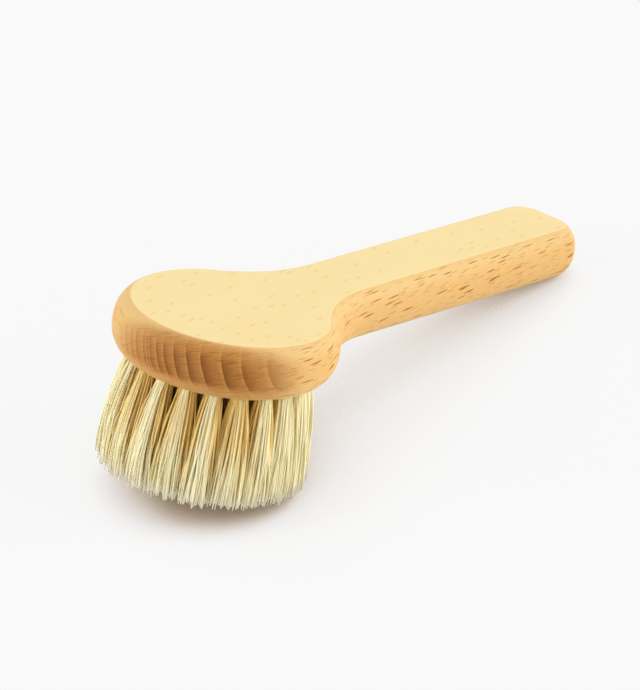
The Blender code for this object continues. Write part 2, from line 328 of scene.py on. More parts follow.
def drill(mouth, tip, out, sides=28):
    """Rings of a drill along a hole's axis, (z, radius): below the wood, its end, its point."""
    a = 2 * math.pi * np.arange(sides) / sides
    circle = np.stack([np.cos(a), np.sin(a), np.zeros(sides)], -1)
    axes = tuft_axes(mouth, tip, out)
    local = np.vstack([HOLE_RADIUS * circle + (0, 0, z) for z in (-DRILL_BELOW, HOLE_DEPTH)])
    local = np.vstack([local, [(0, 0, HOLE_DEPTH + DRILL_POINT)]])
    i = np.arange(sides)
    j = (i + 1) % sides
    walls = np.stack([i, j, j + sides, i + sides], -1).tolist()
    cone = np.stack([i + sides, j + sides, np.full(sides, 2 * sides)], -1).tolist()
    return local @ axes + mouth, walls + cone + [i[::-1].tolist()]


def drill_all(wood):
    """Cut every hole from the wood, and keep the result as its mesh."""
    points, faces = [], []
    for _, mouth, tip, out, _ in places:
        start = sum(len(p) for p in points)
        local, local_faces = drill(mouth, tip, out)
        points.append(local)
        faces += [[start + k for k in face] for face in local_faces]
    drills = mesh_object("drills", np.vstack(points), faces)
    cut = wood.modifiers.new("holes", "BOOLEAN")
    cut.operation = "DIFFERENCE"
    cut.object = drills
    shaped = wood.evaluated_get(bpy.context.evaluated_depsgraph_get())
    wood.data = bpy.data.meshes.new_from_object(shaped)
    wood.modifiers.clear()
    bpy.data.objects.remove(drills)
    wood.data.set_sharp_from_angle(angle=SHARP_ANGLE)


drill_all(beech_body)
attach(beech_body, "root")
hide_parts("wood_body")
print("faces of the drilled wood:", len(beech_body.data.polygons))

# %% [markdown]
# ## A small way of writing materials
#
# A material is a graph of nodes. It could be drawn by hand in the shader editor, but a
# lesson has to be read, and written out in full each one takes a page. So a few helpers make
# each node one short line: add a node, set its values or link its inputs, and hand back its
# output.

# %% Helpers for node graphs
class Graph:
    """The nodes of one material or world, with short ways to add more."""

    def __init__(self, tree):
        self.tree = tree

    def node(self, kind, inputs=None, output=0, **settings):
        """Add a node, set or link its inputs, and return one of its outputs."""
        made = self.tree.nodes.new("ShaderNode" + kind)
        for name, value in settings.items():
            setattr(made, name, value)
        for name, value in (inputs or {}).items():
            self.put(made.inputs[name], value)
        return made.outputs[output]

    def put(self, socket, value):
        """Link an output to a socket, or set the socket's own value."""
        if isinstance(value, bpy.types.NodeSocket):
            self.tree.links.new(value, socket)
        else:
            socket.default_value = value

    def math(self, operation, *values):
        """One step of arithmetic."""
        return self.node("Math", dict(enumerate(values)), operation=operation)

    def product(self, first, *others):
        """All the values multiplied together."""
        for value in others:
            first = self.math("MULTIPLY", first, value)
        return first

    def blend(self, share, a, b):
        """Mix of two colours by a share: a at 0, b at 1."""
        made = self.tree.nodes.new("ShaderNodeMix")
        made.data_type = "RGBA"
        for index, value in ((0, share), (6, a), (7, b)):
            if isinstance(value, tuple):
                value = (*value, 1.0)
            self.put(made.inputs[index], value)
        return made.outputs[2]

    def rescale(self, value, low, high, to_low=0.0, to_high=1.0, kind="SMOOTHSTEP"):
        """Map a range to another, eased at both ends."""
        inputs = {0: value, 1: low, 2: high, 3: to_low, 4: to_high}
        return self.node("MapRange", inputs, interpolation_type=kind)

    def vector(self, x, y, z):
        """A vector from its three numbers."""
        return self.node("CombineXYZ", {0: x, 1: y, 2: z})

    def split(self, vector):
        """The three numbers of a vector."""
        made = self.tree.nodes.new("ShaderNodeSeparateXYZ")
        self.put(made.inputs[0], vector)
        return tuple(made.outputs)

    def dot(self, a, b):
        """How far one vector runs along another."""
        return self.node("VectorMath", {0: a, 1: b}, output=1, operation="DOT_PRODUCT")

    def noise(self, place, scale, detail, roughness=0.5):
        """Soft noise with a scale of its own along each axis."""
        drawn = self.node("Mapping", {"Vector": place, "Scale": scale})
        given = {"Vector": drawn, "Scale": 1.0, "Detail": detail, "Roughness": roughness}
        return self.node("TexNoise", given)

    def ramp(self, value, stops):
        """A colour ramp over rows of place and colour, the first and the last at its ends."""
        made = self.tree.nodes.new("ShaderNodeValToRGB")
        elements = made.color_ramp.elements
        for i, (place, colour) in enumerate(stops):
            last = i == len(stops) - 1
            stop = elements[0] if i == 0 else elements[-1] if last else elements.new(place)
            stop.position, stop.color = place, (*colour, 1)
        self.put(made.inputs[0], value)
        return made.outputs[0]


def new_material(name):
    """A material, its graph and its shader."""
    made = bpy.data.materials.new(name)
    made.use_nodes = True
    return made, Graph(made.node_tree), made.node_tree.nodes["Principled BSDF"]


def brush_coordinates(graph):
    """Place on the brush in millimetres, and surface normal, both in the brush's own frame."""
    coordinates = graph.tree.nodes.new("ShaderNodeTexCoord").outputs
    back = {"Rotation": (0, pitch, 0), "Scale": (MM, MM, MM), "Location": tuple(face_point)}
    back = {"Vector": coordinates["Object"], **back}
    place = graph.node("Mapping", back, vector_type="TEXTURE")
    facing = {"Vector": coordinates["Normal"], "Rotation": (0, pitch, 0)}
    normal = graph.node("Mapping", facing, vector_type="TEXTURE")
    return place, normal


# %% [markdown]
# ## Growth rings
#
# A tree adds a ring each year, with a sharp step in tone from one ring to the next. This
# piece was cut far from the pith, so its rings cross the head's front as wide arcs. A wave of
# fixed length could stand for them, but real rings differ in width, and that shows. So their
# edges are written down, and a colour ramp with one stop an edge turns a distance from the
# pith into a count of rings. The count's fraction says how far across its ring a spot lies.

# %% Growth rings, in millimetres from the pith
PITH = (130.0, -55.0)
PITH_DISTANCE = 140.0
RING_EDGES = (
    118.0, 121.0, 124.0, 126.6, 129.0, 131.1, 133.0, 134.7, 136.8, 137.8,
    138.5, 140.1, 141.7, 143.8, 146.2, 148.8, 152.0, 154.7, 157.7, 161.0,
)
RING_WAVE_SCALE, RING_WAVE = (0.02, 0.12, 0.12), 0.2


def ring_count(graph, radius):
    """Number of growth rings inside a radius: a ramp whose stops are the rings' edges."""
    low, high = RING_EDGES[0], RING_EDGES[-1]
    last = len(RING_EDGES) - 1
    stops = [((edge - low) / (high - low), (i / last,) * 3) for i, edge in enumerate(RING_EDGES)]
    share = graph.rescale(radius, low, high, kind="LINEAR")
    return graph.math("MULTIPLY", graph.ramp(share, stops), float(last))


def growth_rings(graph, x, y, z):
    """Radius and arc length round the pith, and the shade and the pale edge of a ring.

    The radius is the root of (pith y - y)^2 + (z - pith z)^2, made a little wavy. The shade
    is (1 - fraction of the ring)^1.5, and the edge is a narrow band of that fraction.
    """
    wave = graph.noise(graph.vector(x, y, z), RING_WAVE_SCALE, 2.0)
    wave = graph.rescale(wave, 0.3, 0.7, -RING_WAVE, RING_WAVE, kind="LINEAR")
    across = graph.math("ADD", graph.math("SUBTRACT", PITH[0], y), wave)
    height = graph.math("SUBTRACT", z, PITH[1])
    squares = [graph.math("MULTIPLY", side, side) for side in (across, height)]
    radius = graph.math("SQRT", graph.math("ADD", *squares))
    arc_length = graph.math("MULTIPLY", graph.math("ARCTAN2", height, across), PITH_DISTANCE)
    fraction = graph.math("FRACT", ring_count(graph, radius))
    shade = graph.math("POWER", graph.math("SUBTRACT", 1.0, fraction), 1.5)
    edge = graph.product(graph.rescale(fraction, 0.80, 0.93), graph.rescale(fraction, 1.0, 0.96))
    return radius, arc_length, shade, edge


print("growth rings:", len(RING_EDGES) - 1)

# %% [markdown]
# ## Rays
#
# Beech is told by its rays, thin ribbons of another tissue that run from the pith outwards.
# Cut along the grain, on the wood's sides, each shows as a short dark dash. On the broad top
# they lie almost flat and show as faint flecks. One solid pattern that the surface cuts
# through could give both, but a rounded edge would draw the dashes out wide. So a stroke is
# laid out on two lengths of the surface itself: along the handle, and down the edge.

# %% Strokes for rays: spacing, share kept, half length and width, full core, and seed
DASHES = ((9.0, 0.72), 0.38, (3.0, 0.11), 0.80, 3.0)
FINE_DASHES = ((5.6, 0.42), 0.50, (2.2, 0.085), 0.7, 11.0)
FLECKS = ((7.0, 1.7), 0.36, (2.8, 0.45), 0.15, 23.0)
SHORTEST_STROKE = 0.55


def strokes(graph, along, across, spacing, kept, half, core, seed):
    """Sparse pointed strokes, at most one in each cell of shifted rows.

    A stroke is where (|u| / half length)^1.5 + (|v| / half width)^1.5 < 1, and full where
    the sum is below the core. Dice thrown for its row and cell say whether it is there, how
    long it is and where in the cell.
    """
    lane = graph.math("DIVIDE", across, spacing[1])
    row = graph.math("FLOOR", lane)
    thrown = {"W": graph.math("ADD", row, seed)}
    shift = graph.node("TexWhiteNoise", thrown, noise_dimensions="1D")
    run = graph.math("ADD", graph.math("DIVIDE", along, spacing[0]), shift)
    cell = graph.math("FLOOR", run)
    dice = graph.tree.nodes.new("ShaderNodeTexWhiteNoise")
    graph.put(dice.inputs["Vector"], graph.vector(cell, row, seed))
    length, slide, lift = graph.split(dice.outputs["Color"])
    longest = half[0] / spacing[0]
    shortest = longest * SHORTEST_STROKE
    length = graph.math("MULTIPLY_ADD", length, longest - shortest, shortest)
    slide = graph.math("MULTIPLY_ADD", slide, 0.3, 0.35)
    lift = graph.math("MULTIPLY_ADD", lift, 0.4, 0.3)
    u = graph.math("SUBTRACT", graph.math("FRACT", run), slide)
    v = graph.math("SUBTRACT", graph.math("FRACT", lane), lift)
    u = graph.math("DIVIDE", graph.math("ABSOLUTE", u), length)
    v = graph.math("MULTIPLY", graph.math("ABSOLUTE", v), spacing[1] / half[1])
    total = graph.math("ADD", graph.math("POWER", u, 1.5), graph.math("POWER", v, 1.5))
    there = graph.math("LESS_THAN", dice.outputs["Value"], kept)
    return graph.math("MULTIPLY", graph.rescale(total, 1.0, core), there)


print("dashes:", DASHES[2][0] * 2, "mm long and", DASHES[2][1] * 2, "mm wide at most")

# %% [markdown]
# ## Flat, side and end grain
#
# One board shows three looks: pale on its planed flats, warmer on its sides, and dark where
# the grain is cut across, because open ends drink up the oil. Each could be a material on
# faces of its own, with a hard line between. On a rounded edge one runs into the next, so
# the surface's own direction says how much of each there is.
# The direction also paints light and shade: the end grain's rings are darkest where the surface
# faces sideways, and the round edge and the end grain's underside are paler.

# %% How the surface cuts the grain
GRAIN_LINE = np.array((1.0, 0.46, 0.1))
HEAD_FRONT, HANDLE_TIP = (6.0, -6.0), (HANDLE_END - 10, HANDLE_END - 4)
FLAT, UNDERSIDE, CUT_ACROSS = (0.85, 0.985), (-0.15, -0.65), (0.47, 0.95)


def grain_cuts(graph, x, normal):
    """Shares of flat grain, of the pale round edge, of end grain and of the underside, and how
    square the cut is.

    The cut is |normal . grain line| / (0.6 * steepness + 0.4), and steepness is the root of
    1 - nz^2. End grain shows at the wood's two ends alone. The pale on the round edge is partly
    flat grain and partly painted light, and the end grain is painted paler on the underside,
    where light comes up from the table.
    """
    nz = graph.split(normal)[2]
    under = graph.rescale(nz, *UNDERSIDE)
    nz = graph.math("ABSOLUTE", nz)
    square = graph.dot(normal, tuple(GRAIN_LINE / np.linalg.norm(GRAIN_LINE)))
    steep = graph.math("SQRT", graph.math("SUBTRACT", 1.0, graph.math("MULTIPLY", nz, nz)))
    steep = graph.math("MULTIPLY_ADD", steep, 0.6, 0.4)
    square = graph.math("DIVIDE", graph.math("ABSOLUTE", square), steep)
    flat = graph.rescale(nz, *FLAT)
    at_ends = graph.math("MAXIMUM", graph.rescale(x, *HEAD_FRONT), graph.rescale(x, *HANDLE_TIP))
    round_edge = graph.math("SUBTRACT", 1.0, flat)
    end = graph.product(graph.rescale(square, *CUT_ACROSS), round_edge, at_ends)
    # Partly flat grain, partly painted light: the round edge takes some of the pale flat
    slope_grain_and_painted_light = graph.product(graph.rescale(nz, 0.15, 0.75), graph.rescale(end, 0.5, 0.0, 0.0, 0.28))
    # Painted light: end grain paler on the underside, lit from the table below
    end = graph.product(end, graph.rescale(under, 0.0, 1.0, 1.0, 0.55))
    return flat, graph.math("MAXIMUM", flat, slope_grain_and_painted_light), end, under, square


askew = math.degrees(math.atan2(GRAIN_LINE[1], GRAIN_LINE[0]))
print("end grain is squarest", round(askew), "degrees round from the handle's line")

# %% [markdown]
# ## Oiled beech
#
# The material starts from the side grain, lays the end grain with its rings and rays over
# it, then the pale flat, and the dashes last. A photograph of a board, wrapped round the
# brush, would be quicker, but it shows its seams and its edges. Noise drawn out along the
# grain stands for the fibres. The grain runs a little askew to the handle, as in a board
# that was sawn without regard to it, so places are sheared before a pattern reads them.

# %% Oiled beech
GRAIN_SLOPE = (0.25, 0.07)
EDGE_RADIUS = 5.2
FIBRE_SCALE, RAY_SCALE, CLOUD_SCALE = (0.32, 2.8, 5.6), (0.4, 0.25, 4.5), (0.03, 0.10, 0.10)
BEECH_TONES = {
    "side": ((0.80, 0.485, 0.175), (0.855, 0.555, 0.218)),
    "end": ((0.50, 0.198, 0.042), (0.57, 0.255, 0.062)),
    "flat": ((0.94, 0.73, 0.355), (0.975, 0.79, 0.405)),
    "fibre": (0.66, 0.34, 0.09),
    "ring shade": (0.20, 0.060, 0.008),
    "ring edge": (0.75, 0.42, 0.16),
    "ray": (0.26, 0.08, 0.012),
    "dash": (0.38, 0.135, 0.0),
    "fine dash": (0.52, 0.23, 0.03),
    "fleck": (0.88, 0.62, 0.20),
}


def end_grain(g, tone, rings, cuts, nz):
    """End grain over a tone: the rings' shades and pale edges, and rays from the pith. The rings'
    shade is painted shade too: deepest where the surface faces sideways, fainter where it faces
    up or down, and faintest on the underside.
    """
    ray_place, shade, edge = rings
    end, under, square = cuts
    rays = g.rescale(g.noise(ray_place, RAY_SCALE, 3.0, 0.6), 0.48, 0.66)
    # Painted shade: the rings' shade deepest where the surface faces sideways
    clear = g.product(
        end,
        g.rescale(nz, 0.20, 0.70, 0.88, 0.12),
        g.rescale(under, 0.0, 1.0, 1.0, 0.35),
        g.rescale(square, 0.82, 0.98, 0.6, 1.0),
    )
    tone = g.blend(g.product(shade, clear), tone, BEECH_TONES["ring shade"])
    tone = g.blend(g.product(edge, end, 0.20), tone, BEECH_TONES["ring edge"])
    return g.blend(g.product(rays, end, 0.55), tone, BEECH_TONES["ray"])


def make_beech():
    """Oiled beech, from the side grain up to the dashes.

    The length down the edge is the angle that the surface has turned, arccos nz, times the
    edge's mean radius.
    """
    made, g, shader = new_material("oiled_beech")
    place, normal = brush_coordinates(g)
    x, y, z = g.split(place)
    _, ny, nz = g.split(normal)
    down = g.math("MULTIPLY", g.math("ARCCOSINE", nz), EDGE_RADIUS)
    ny, nz = g.math("ABSOLUTE", ny), g.math("ABSOLUTE", nz)
    flat, slope_grain_and_painted_light, end, under, square = grain_cuts(g, x, normal)
    radius, arc_length, shade, edge = growth_rings(g, x, y, z)
    rings = g.vector(x, radius, arc_length), shade, edge

    # The grain is not quite in line with the handle: shear the place along it
    run = g.math("ADD", x, HEAD_RADIUS)
    y = g.math("SUBTRACT", y, g.math("MULTIPLY", run, GRAIN_SLOPE[0]))
    z = g.math("SUBTRACT", z, g.math("MULTIPLY", run, GRAIN_SLOPE[1]))
    down = g.math("ADD", down, g.math("MULTIPLY", run, GRAIN_SLOPE[1]))
    sheared = g.vector(x, y, z)
    grain = g.rescale(g.noise(sheared, FIBRE_SCALE, 5.0, 0.6), 0.3, 0.7, kind="LINEAR")
    cloud = g.noise(sheared, CLOUD_SCALE, 3.0)

    side, ends, top = (g.blend(cloud, *BEECH_TONES[kind]) for kind in ("side", "end", "flat"))
    fibres = g.product(g.math("SUBTRACT", 1.0, grain), 0.50)
    tone = g.blend(end, g.blend(fibres, side, BEECH_TONES["fibre"]), ends)
    tone = end_grain(g, tone, rings, (end, under, square), nz)
    tone = g.blend(slope_grain_and_painted_light, tone, top)

    # Rays show as dashes where the surface faces sideways, and hardly on end grain
    cut = g.product(g.rescale(ny, 0.35, 0.80), g.rescale(end, 1.0, 0.2, 0.15, 1.0))
    marks = {
        "dash": (strokes(g, x, down, *DASHES), cut),
        "fine dash": (strokes(g, x, down, *FINE_DASHES), g.product(cut, 0.65)),
        "fleck": (strokes(g, x, y, *FLECKS), g.product(flat, 0.6)),
    }
    for kind, (shape, strength) in marks.items():
        tone = g.blend(g.product(shape, strength), tone, BEECH_TONES[kind])
    g.put(shader.inputs["Base Color"], tone)
    g.put(shader.inputs["Roughness"], g.rescale(grain, 0.0, 1.0, 0.62, 0.50, kind="LINEAR"))
    shader.inputs["Specular IOR Level"].default_value = 0.15
    bump = g.node("Bump", {"Strength": 0.35, "Distance": 0.02 * MM, "Height": grain})
    g.put(shader.inputs["Normal"], bump)
    return made


beech = make_beech()
beech_body.data.materials.clear()
beech_body.data.materials.append(beech)
print("nodes in the beech:", len(beech.node_tree.nodes))

# %% [markdown]
# ## Bristles
#
# A tuft is a pinch of bristles folded in half over a flat wire and driven into its hole, so
# every bristle has two free legs. Below the hole the legs fan out quickly and then run
# almost straight down, because neighbours push against each other, and they cling together
# in locks. Hair curves would be lighter to draw, but they stay behind when the brush leaves
# Blender. So each leg is a path of points, and a bristle is a thin five-sided tube along its
# path, thinner at the tips. All the bristles of a tuft are one array: bristle by row by side.

# %% Paths of the bristles in a tuft, in millimetres
FIBRES, LOCKS = 130, 9
ROOT_SPREAD = 1.68
ROWS = np.array([1.0, 0.87, 0.68, 0.48, 0.29, 0.12, 0.0])
LOCK_SPREAD, LOCK_PULL = 0.85, 0.30
TIP_SCATTER, TIP_STRETCH = 0.10, (1.0, 1.28)
STRAY_SHARE, STRAY_SCATTER = 0.05, 0.9
FAN_POWER, FAN_SCATTER = 1.8, 0.3
LEAN, LEAN_AT_FRONT = 0.05, 0.50
WAVER = 0.22
FLOOR_CLEARANCE = 0.12


def disc_points(count, radius):
    """Random points spread evenly over a disc: radius times the root of a chance."""
    r = radius * np.sqrt(rng.random(count))
    a = 2 * math.pi * rng.random(count)
    return np.stack([r * np.cos(a), r * np.sin(a)], -1)


def leg_paths(root, place, outer, locks):
    """Points down the free legs, in the brush's frame: leg by row by 3.

    The sideways run of a leg is total * (1 - (1 - t)^p): quick at first, then nearly none.
    A leg of the outer ring also leans out by sin(pi t^1.5), most at the head's front.
    """
    _, mouth, tip, out, spread = place
    axes = tuft_axes(mouth, tip, out)
    count = len(root)
    share = root / ROOT_SPREAD
    end = share + LOCK_PULL * (locks - share) + rng.normal(0, TIP_SCATTER, (count, 2))
    end *= np.array(spread) * TIP_STRETCH
    stray = rng.random(count) < STRAY_SHARE
    end[stray] += rng.normal(0, STRAY_SCATTER, (stray.sum(), 2))
    t = ROWS[:, None]
    power = FAN_POWER + FAN_SCATTER * rng.normal(0, 1, count).clip(-2, 2)
    eased = 1 - (1 - t) ** power
    wide = root[:, 0] + (end[:, 0] - root[:, 0]) * eased
    around = root[:, 1] + (end[:, 1] - root[:, 1]) * eased
    lean = outer * np.sin(math.pi * t**1.5) * (LEAN + LEAN_AT_FRONT * max(0.0, -out[0]))
    waver = rng.normal(0, WAVER, (2, 1, count)) * np.sin(math.pi * t * 1.5)
    level = mouth + (tip - mouth) * t[..., None] * (0, 0, 1)
    centre = level + (tip - mouth) * (1 - (1 - t[..., None]) ** 2) * (1, 1, 0)
    side = (wide + lean + waver[0])[..., None] * axes[0] * (1, 1, 0)
    side = side + (around + waver[1])[..., None] * axes[1]
    return (centre + side).transpose(1, 0, 2)


def trim(legs, ragged):
    """Cut each leg at the trimmed face, more or less, or just above the floor."""
    start, tip = legs[:, -1:], legs[:, :1]
    room_z = to_room(tip)[..., 2] / MM
    room_start = to_room(start)[..., 2] / MM
    to_floor = (room_start - FLOOR_CLEARANCE) / (room_start - room_z)
    keep = np.minimum(1 + ragged[:, None] / BRISTLE_LENGTH, to_floor)[..., None]
    return start + (legs - start) * keep


# %% Tubes along many paths at once
def tubes(paths, radii, reference, roll, sides=5):
    """Thin closed tubes: path point + radius * (cos a * sideways + sin a * its normal).

    Sideways is the reference direction made square to the path, so a tube never twists.
    """
    run = np.gradient(paths, axis=1)
    run /= np.linalg.norm(run, axis=-1, keepdims=True)
    sideways = reference - (run * reference).sum(-1, keepdims=True) * run
    sideways /= np.linalg.norm(sideways, axis=-1, keepdims=True)
    normal = np.cross(run, sideways)
    a = roll[:, None, None] + 2 * math.pi * np.arange(sides) / sides
    ring = np.cos(a)[..., None] * sideways[:, :, None]
    ring = ring + np.sin(a)[..., None] * normal[:, :, None]
    points = paths[:, :, None] + radii[None, :, None, None] * ring
    count, rows = paths.shape[:2]
    fibre, row, side = (np.arange(n) for n in (count, rows - 1, sides))
    f, r, i = np.meshgrid(fibre, row, side, indexing="ij")
    at = (f * rows + r) * sides
    j = (i + 1) % sides
    quads = np.stack([at + i, at + j, at + j + sides, at + i + sides], -1).reshape(-1, 4)
    first = fibre[:, None] * rows * sides + side[::-1]
    last = fibre[:, None] * rows * sides + (rows - 1) * sides + side
    return points.reshape(-1, 3), quads.tolist() + first.tolist() + last.tolist()


# %% [markdown]
# ## Whole bristles, and their tone
#
# Inside the hole a bristle goes up one side of the wire, over it and down the other side. It
# could stop at the mouth, where nobody looks, but then nothing would fill the hole's edge.
# Natural bristles differ in colour, and those of a lock are alike. So each gets a tone, a
# number from golden to pale: a base, chance for its lock and for itself, and painted light
# and shade. The painted light is more for what stands free: the outer ring, the outside of a
# tuft, and the side of the head that the low light from the right reaches. The flanks of a
# tuft, between its neighbours, get painted shade.

# %% Whole bristles
ROOT_SCATTER = 0.06
WIRE_GAP = 0.3
ANCHOR_DEEP = 6.3
FOLD_HEIGHT, FOLD_DROP = 1.1, 0.2
TRIM_MEAN, TRIM_SCATTER, TRIM_LIMITS = 0.22, 0.60, (-1.7, 1.3)
TONE_BASE, TONE_OF_LOCK, TONE_OF_BRISTLE = 0.05, 0.22, 0.13
# Painted light outwards, in the outer ring and from the right; painted shade on the flanks
PAINTED_LIGHT_OUTWARDS, PAINTED_SHADE_ASIDE, PAINTED_LIGHT_OUTER_RING = 0.20, -0.38, 0.2
PAINTED_LIGHT_RIGHT = (0.06, 0.42)


def tone_with_painted_light(root, out, outer):
    """Tone by place: base, then painted light and shade. A slope across the tuft, lit outwards
    and shaded on its flanks, more for the outer ring, and a * right + b * right^4.
    """
    right = RIGHT_OF_VIEW[0] * out[0] + RIGHT_OF_VIEW[1] * out[1]
    across = (PAINTED_LIGHT_OUTWARDS * root[:, 0] + PAINTED_SHADE_ASIDE * root[:, 1]) / ROOT_SPREAD
    lit = PAINTED_LIGHT_RIGHT[0] * right + PAINTED_LIGHT_RIGHT[1] * right**4
    return TONE_BASE + across + PAINTED_LIGHT_OUTER_RING * outer + lit


def tuft_paths(place, outer):
    """Whole bristles, leg, fold and leg: bristle by row by 3, with the hole's axes and tones.

    The fold is apart * cos psi by apart * sin psi, in the hole's own axes. Inside the hole
    the legs keep clear of the wire. At the mouth they have closed the gap.
    """
    _, mouth, tip, out, _ = place
    root = disc_points(FIBRES, ROOT_SPREAD)
    root[:, 1] = np.abs(root[:, 1])
    centres = disc_points(LOCKS, LOCK_SPREAD)
    tones = rng.random(LOCKS)
    legs, tone = [], tone_with_painted_light(root, out, outer)
    for side in (1, -1):
        start = root * (1, side) + rng.normal(0, ROOT_SCATTER, root.shape)
        lock = ((start[:, None] / ROOT_SPREAD - centres) ** 2).sum(-1).argmin(1)
        ragged = rng.normal(TRIM_MEAN, TRIM_SCATTER, FIBRES).clip(*TRIM_LIMITS)
        legs.append(trim(leg_paths(start, place, outer, centres[lock]), ragged))
        tone = tone + TONE_OF_LOCK * tones[lock]
    axes = tuft_axes(mouth, tip, out)
    psi = np.array([0.0, 0.5, 1.0]) * math.pi
    apart = WIRE_GAP + root[:, 1:] * (1 - WIRE_GAP / ROOT_SPREAD)
    over = np.stack([
        np.repeat(root[:, :1], len(psi), 1),
        apart * np.cos(psi),
        ANCHOR_DEEP + apart.clip(None, FOLD_HEIGHT) * np.sin(psi) - FOLD_DROP,
    ], -1)
    paths = np.concatenate([legs[0], over @ axes + mouth, legs[1][:, ::-1]], 1)
    return paths, axes, tone + TONE_OF_BRISTLE * rng.random(FIBRES)


# %% Tufts
INNER_TUFT = 0.3
REACH = np.concatenate([ROWS, np.zeros(3), ROWS[::-1]])
TUBE_RADII = np.interp(REACH, [0, 0.3, 0.87, 1], [0.115, 0.15, 0.15, 0.085])


def set_attribute(mesh, name, values):
    """Store one number a point on the mesh, for the material to read."""
    kept = mesh.attributes.new(name, "FLOAT", "POINT")
    kept.data.foreach_set("value", np.ascontiguousarray(values, np.float32).ravel())


def make_tuft(place):
    """One tuft as one piece, with each bristle's tone and how far along it a point is."""
    name = place[0]
    paths, axes, tone = tuft_paths(place, 1.0 if name.startswith("outer") else INNER_TUFT)
    points, faces = tubes(paths, TUBE_RADII, axes[0], rng.random(FIBRES) * math.pi)
    made = mesh_object(f"bristles_{name}", points, faces, sharp=math.pi)
    shape = (FIBRES, len(REACH), len(points) // FIBRES // len(REACH))
    set_attribute(made.data, "tone", np.broadcast_to(tone[:, None, None], shape))
    set_attribute(made.data, "reach", np.broadcast_to(REACH[None, :, None], shape))
    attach(made, "root")
    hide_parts(f"tuft_{name}")
    return made


tufts = [make_tuft(place) for place in places]
print("bristle faces:", sum(len(t.data.polygons) for t in tufts))

# %% [markdown]
# ## The look of bristle
#
# Natural bristle is a pale straw colour. Light passes through it, so deep between the tufts
# it glows amber, and its cut tips are split and whitish. The light could really be followed
# through each bristle, but with five thousand of them that is slow and grainy. So the colour
# paints it: a golden and a pale straw by each bristle's tone, a painted amber glow and painted
# shade towards the root, and paler towards the tip.

# %% Bristle material
STRAW = {
    "golden": (0.90, 0.63, 0.175),
    "pale": (1.0, 0.92, 0.59),
    # painted amber glow and painted shade towards the root
    "root": (0.85, 0.585, 0.18),
    "tip": (1.0, 0.95, 0.75),
}


def make_bristle():
    """Straw by each bristle's tone, and by how far down its leg a point is, with painted
    shade and a painted amber glow towards the root.
    """
    made, g, shader = new_material("pale_bristle")
    tone = g.node("Attribute", attribute_name="tone", output=2)
    reach = g.node("Attribute", attribute_name="reach", output=2)
    lifted = g.math("ADD", tone, g.rescale(reach, 0.35, 0.95, 0.0, 0.30))
    straw = g.blend(g.rescale(lifted, 0.20, 0.85), STRAW["golden"], STRAW["pale"])
    # Painted shade and amber glow: golden bristles turn warmer and darker towards the root
    deep = g.product(g.rescale(reach, 0.6, 0.0), g.rescale(tone, 0.75, 0.25))
    straw = g.blend(deep, straw, STRAW["root"])
    cut = g.product(g.rescale(reach, 0.82, 0.98), 0.7)
    g.put(shader.inputs["Base Color"], g.blend(cut, straw, STRAW["tip"]))
    g.put(shader.inputs["Roughness"], g.rescale(tone, 0.0, 1.0, 0.5, 0.36))
    shader.inputs["Specular IOR Level"].default_value = 0.15
    return made


bristle = make_bristle()
for tuft in tufts:
    tuft.data.materials.append(bristle)
print("nodes in the bristle:", len(bristle.node_tree.nodes))

# %% [markdown]
# ## Anchors
#
# Each tuft hangs on a short piece of flat wire that crosses the hole and bites into its
# wall. The twenty of the outer ring are solids of their own and only get their finish here.
# The others are joined to their tufts in the solids. They could be left out, as nobody sees
# them, but a tuft would then hang on nothing. So they are made again as a flat profile with
# its two leading corners cut off, given a thickness.

# %% Anchors and their finish, in millimetres
ANCHOR = {"half": 2.0, "thick": 0.4, "high": 1.8, "corner": 0.5}
STEEL = ((0.46, 0.46, 0.45), (0.66, 0.66, 0.64))


def make_wire():
    """Bright steel with faint marks along the wire, from drawing it through a die."""
    made, g, shader = new_material("flat_wire")
    place, _ = brush_coordinates(g)
    drawn = g.noise(place, (6.0, 6.0, 60.0), 3.0)
    g.put(shader.inputs["Base Color"], g.blend(drawn, *STEEL))
    g.put(shader.inputs["Roughness"], g.rescale(drawn, 0.2, 0.8, 0.28, 0.48))
    shader.inputs["Metallic"].default_value = 1.0
    return made


def make_anchor(place, look):
    """A hexagon in the plane of the hole's axis, as thick as the wire."""
    name, mouth, tip, out, _ = place
    half, thick, high, corner = ANCHOR.values()
    deep, shallow = ANCHOR_DEEP, ANCHOR_DEEP - high
    x = np.array([-half, half, half, half - corner, corner - half, -half])
    z = np.array([shallow, shallow, deep - corner, deep, deep, deep - corner])
    n = len(x)
    local = np.vstack([np.stack([x, np.full(n, s * thick / 2), z], -1) for s in (-1, 1)])
    i = np.arange(n)
    j = (i + 1) % n
    faces = np.stack([j, i, i + n, j + n], -1).tolist() + [i.tolist(), (i[::-1] + n).tolist()]
    made = mesh_object(f"wire_{name}", local @ tuft_axes(mouth, tip, out) + mouth, faces)
    made.data.materials.append(look)
    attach(made, "root")
    return made


wire = make_wire()
for name, node in frame["nodes"].items():
    if name.startswith("anchor_"):
        node.data.materials.clear()
        node.data.materials.append(wire)
inner_wires = [make_anchor(place, wire) for place in places if not place[0].startswith("outer")]
print("wires made again:", len(inner_wires))

# %% [markdown]
# ## The table
#
# The brush lies on a pale seamless table. Under the head its shadow is brown and soft, and
# it fades to nothing. A plain white table could leave that to the lights, but it would burn
# out where nothing stands on it, and the shadow would be grey. So what the camera sees of
# the table comes mostly from how much open sky each spot has above it: a ramp turns that
# into a colour, from dark brown to nearly white. The table lies a hair below the brush, so
# that no facet of the handle's edge pokes through it.

